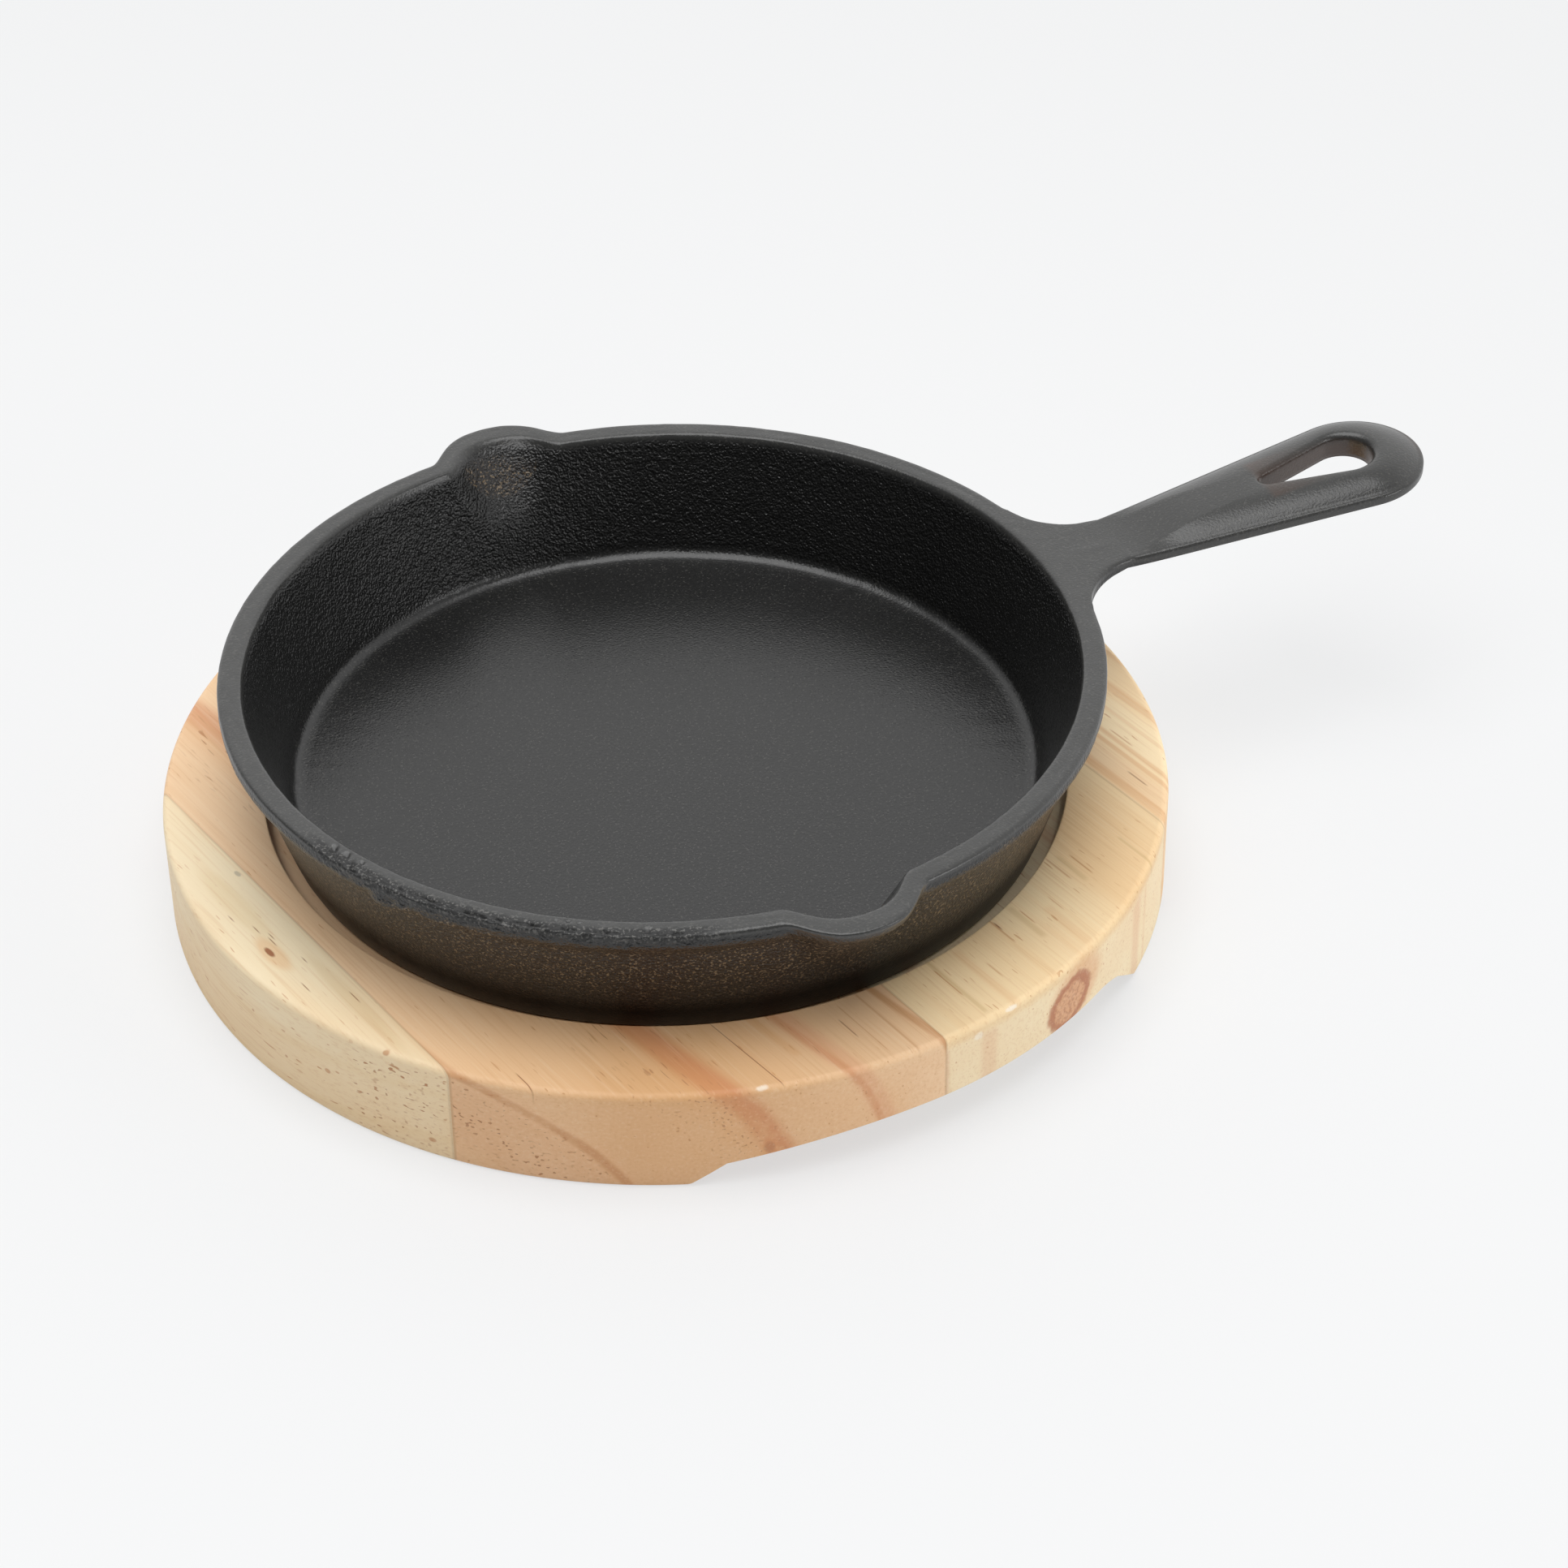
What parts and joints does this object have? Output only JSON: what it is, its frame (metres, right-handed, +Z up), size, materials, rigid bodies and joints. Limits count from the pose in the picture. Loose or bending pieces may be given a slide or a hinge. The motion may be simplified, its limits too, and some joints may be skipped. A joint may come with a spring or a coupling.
{
  "type": "sizzle platter",
  "caption": "Round cast-iron skillet with a short flat handle, hanging eye and two pouring spouts, standing in the recess of a round wooden serving base with a finger channel below",
  "frame": {"origin": "On the common axis of skillet and base, in the plane that the base stands on", "axes": "+X runs along the skillet's handle, +Z is up, square to the cooking floor"},
  "size_m": [0.248, 0.184, 0.0516],
  "materials": {
    "cast_iron": "matt seasoned cast iron with a fine cast grain",
    "wood_rear": "turned and sanded, oiled pale wood",
    "wood_rear_middle": "turned and sanded, oiled tan wood",
    "wood_handle_middle": "turned and sanded, oiled tan wood",
    "wood_handle_side": "turned and sanded, oiled pale wood with a side knot"
  },
  "bodies": {
    "root": {"skillet": "cast_iron", "base_strip_rear": "wood_rear", "base_strip_rear_middle": "wood_rear_middle", "base_strip_handle_middle": "wood_handle_middle", "base_strip_handle_side": "wood_handle_side"}
  },
  "joints": []
}
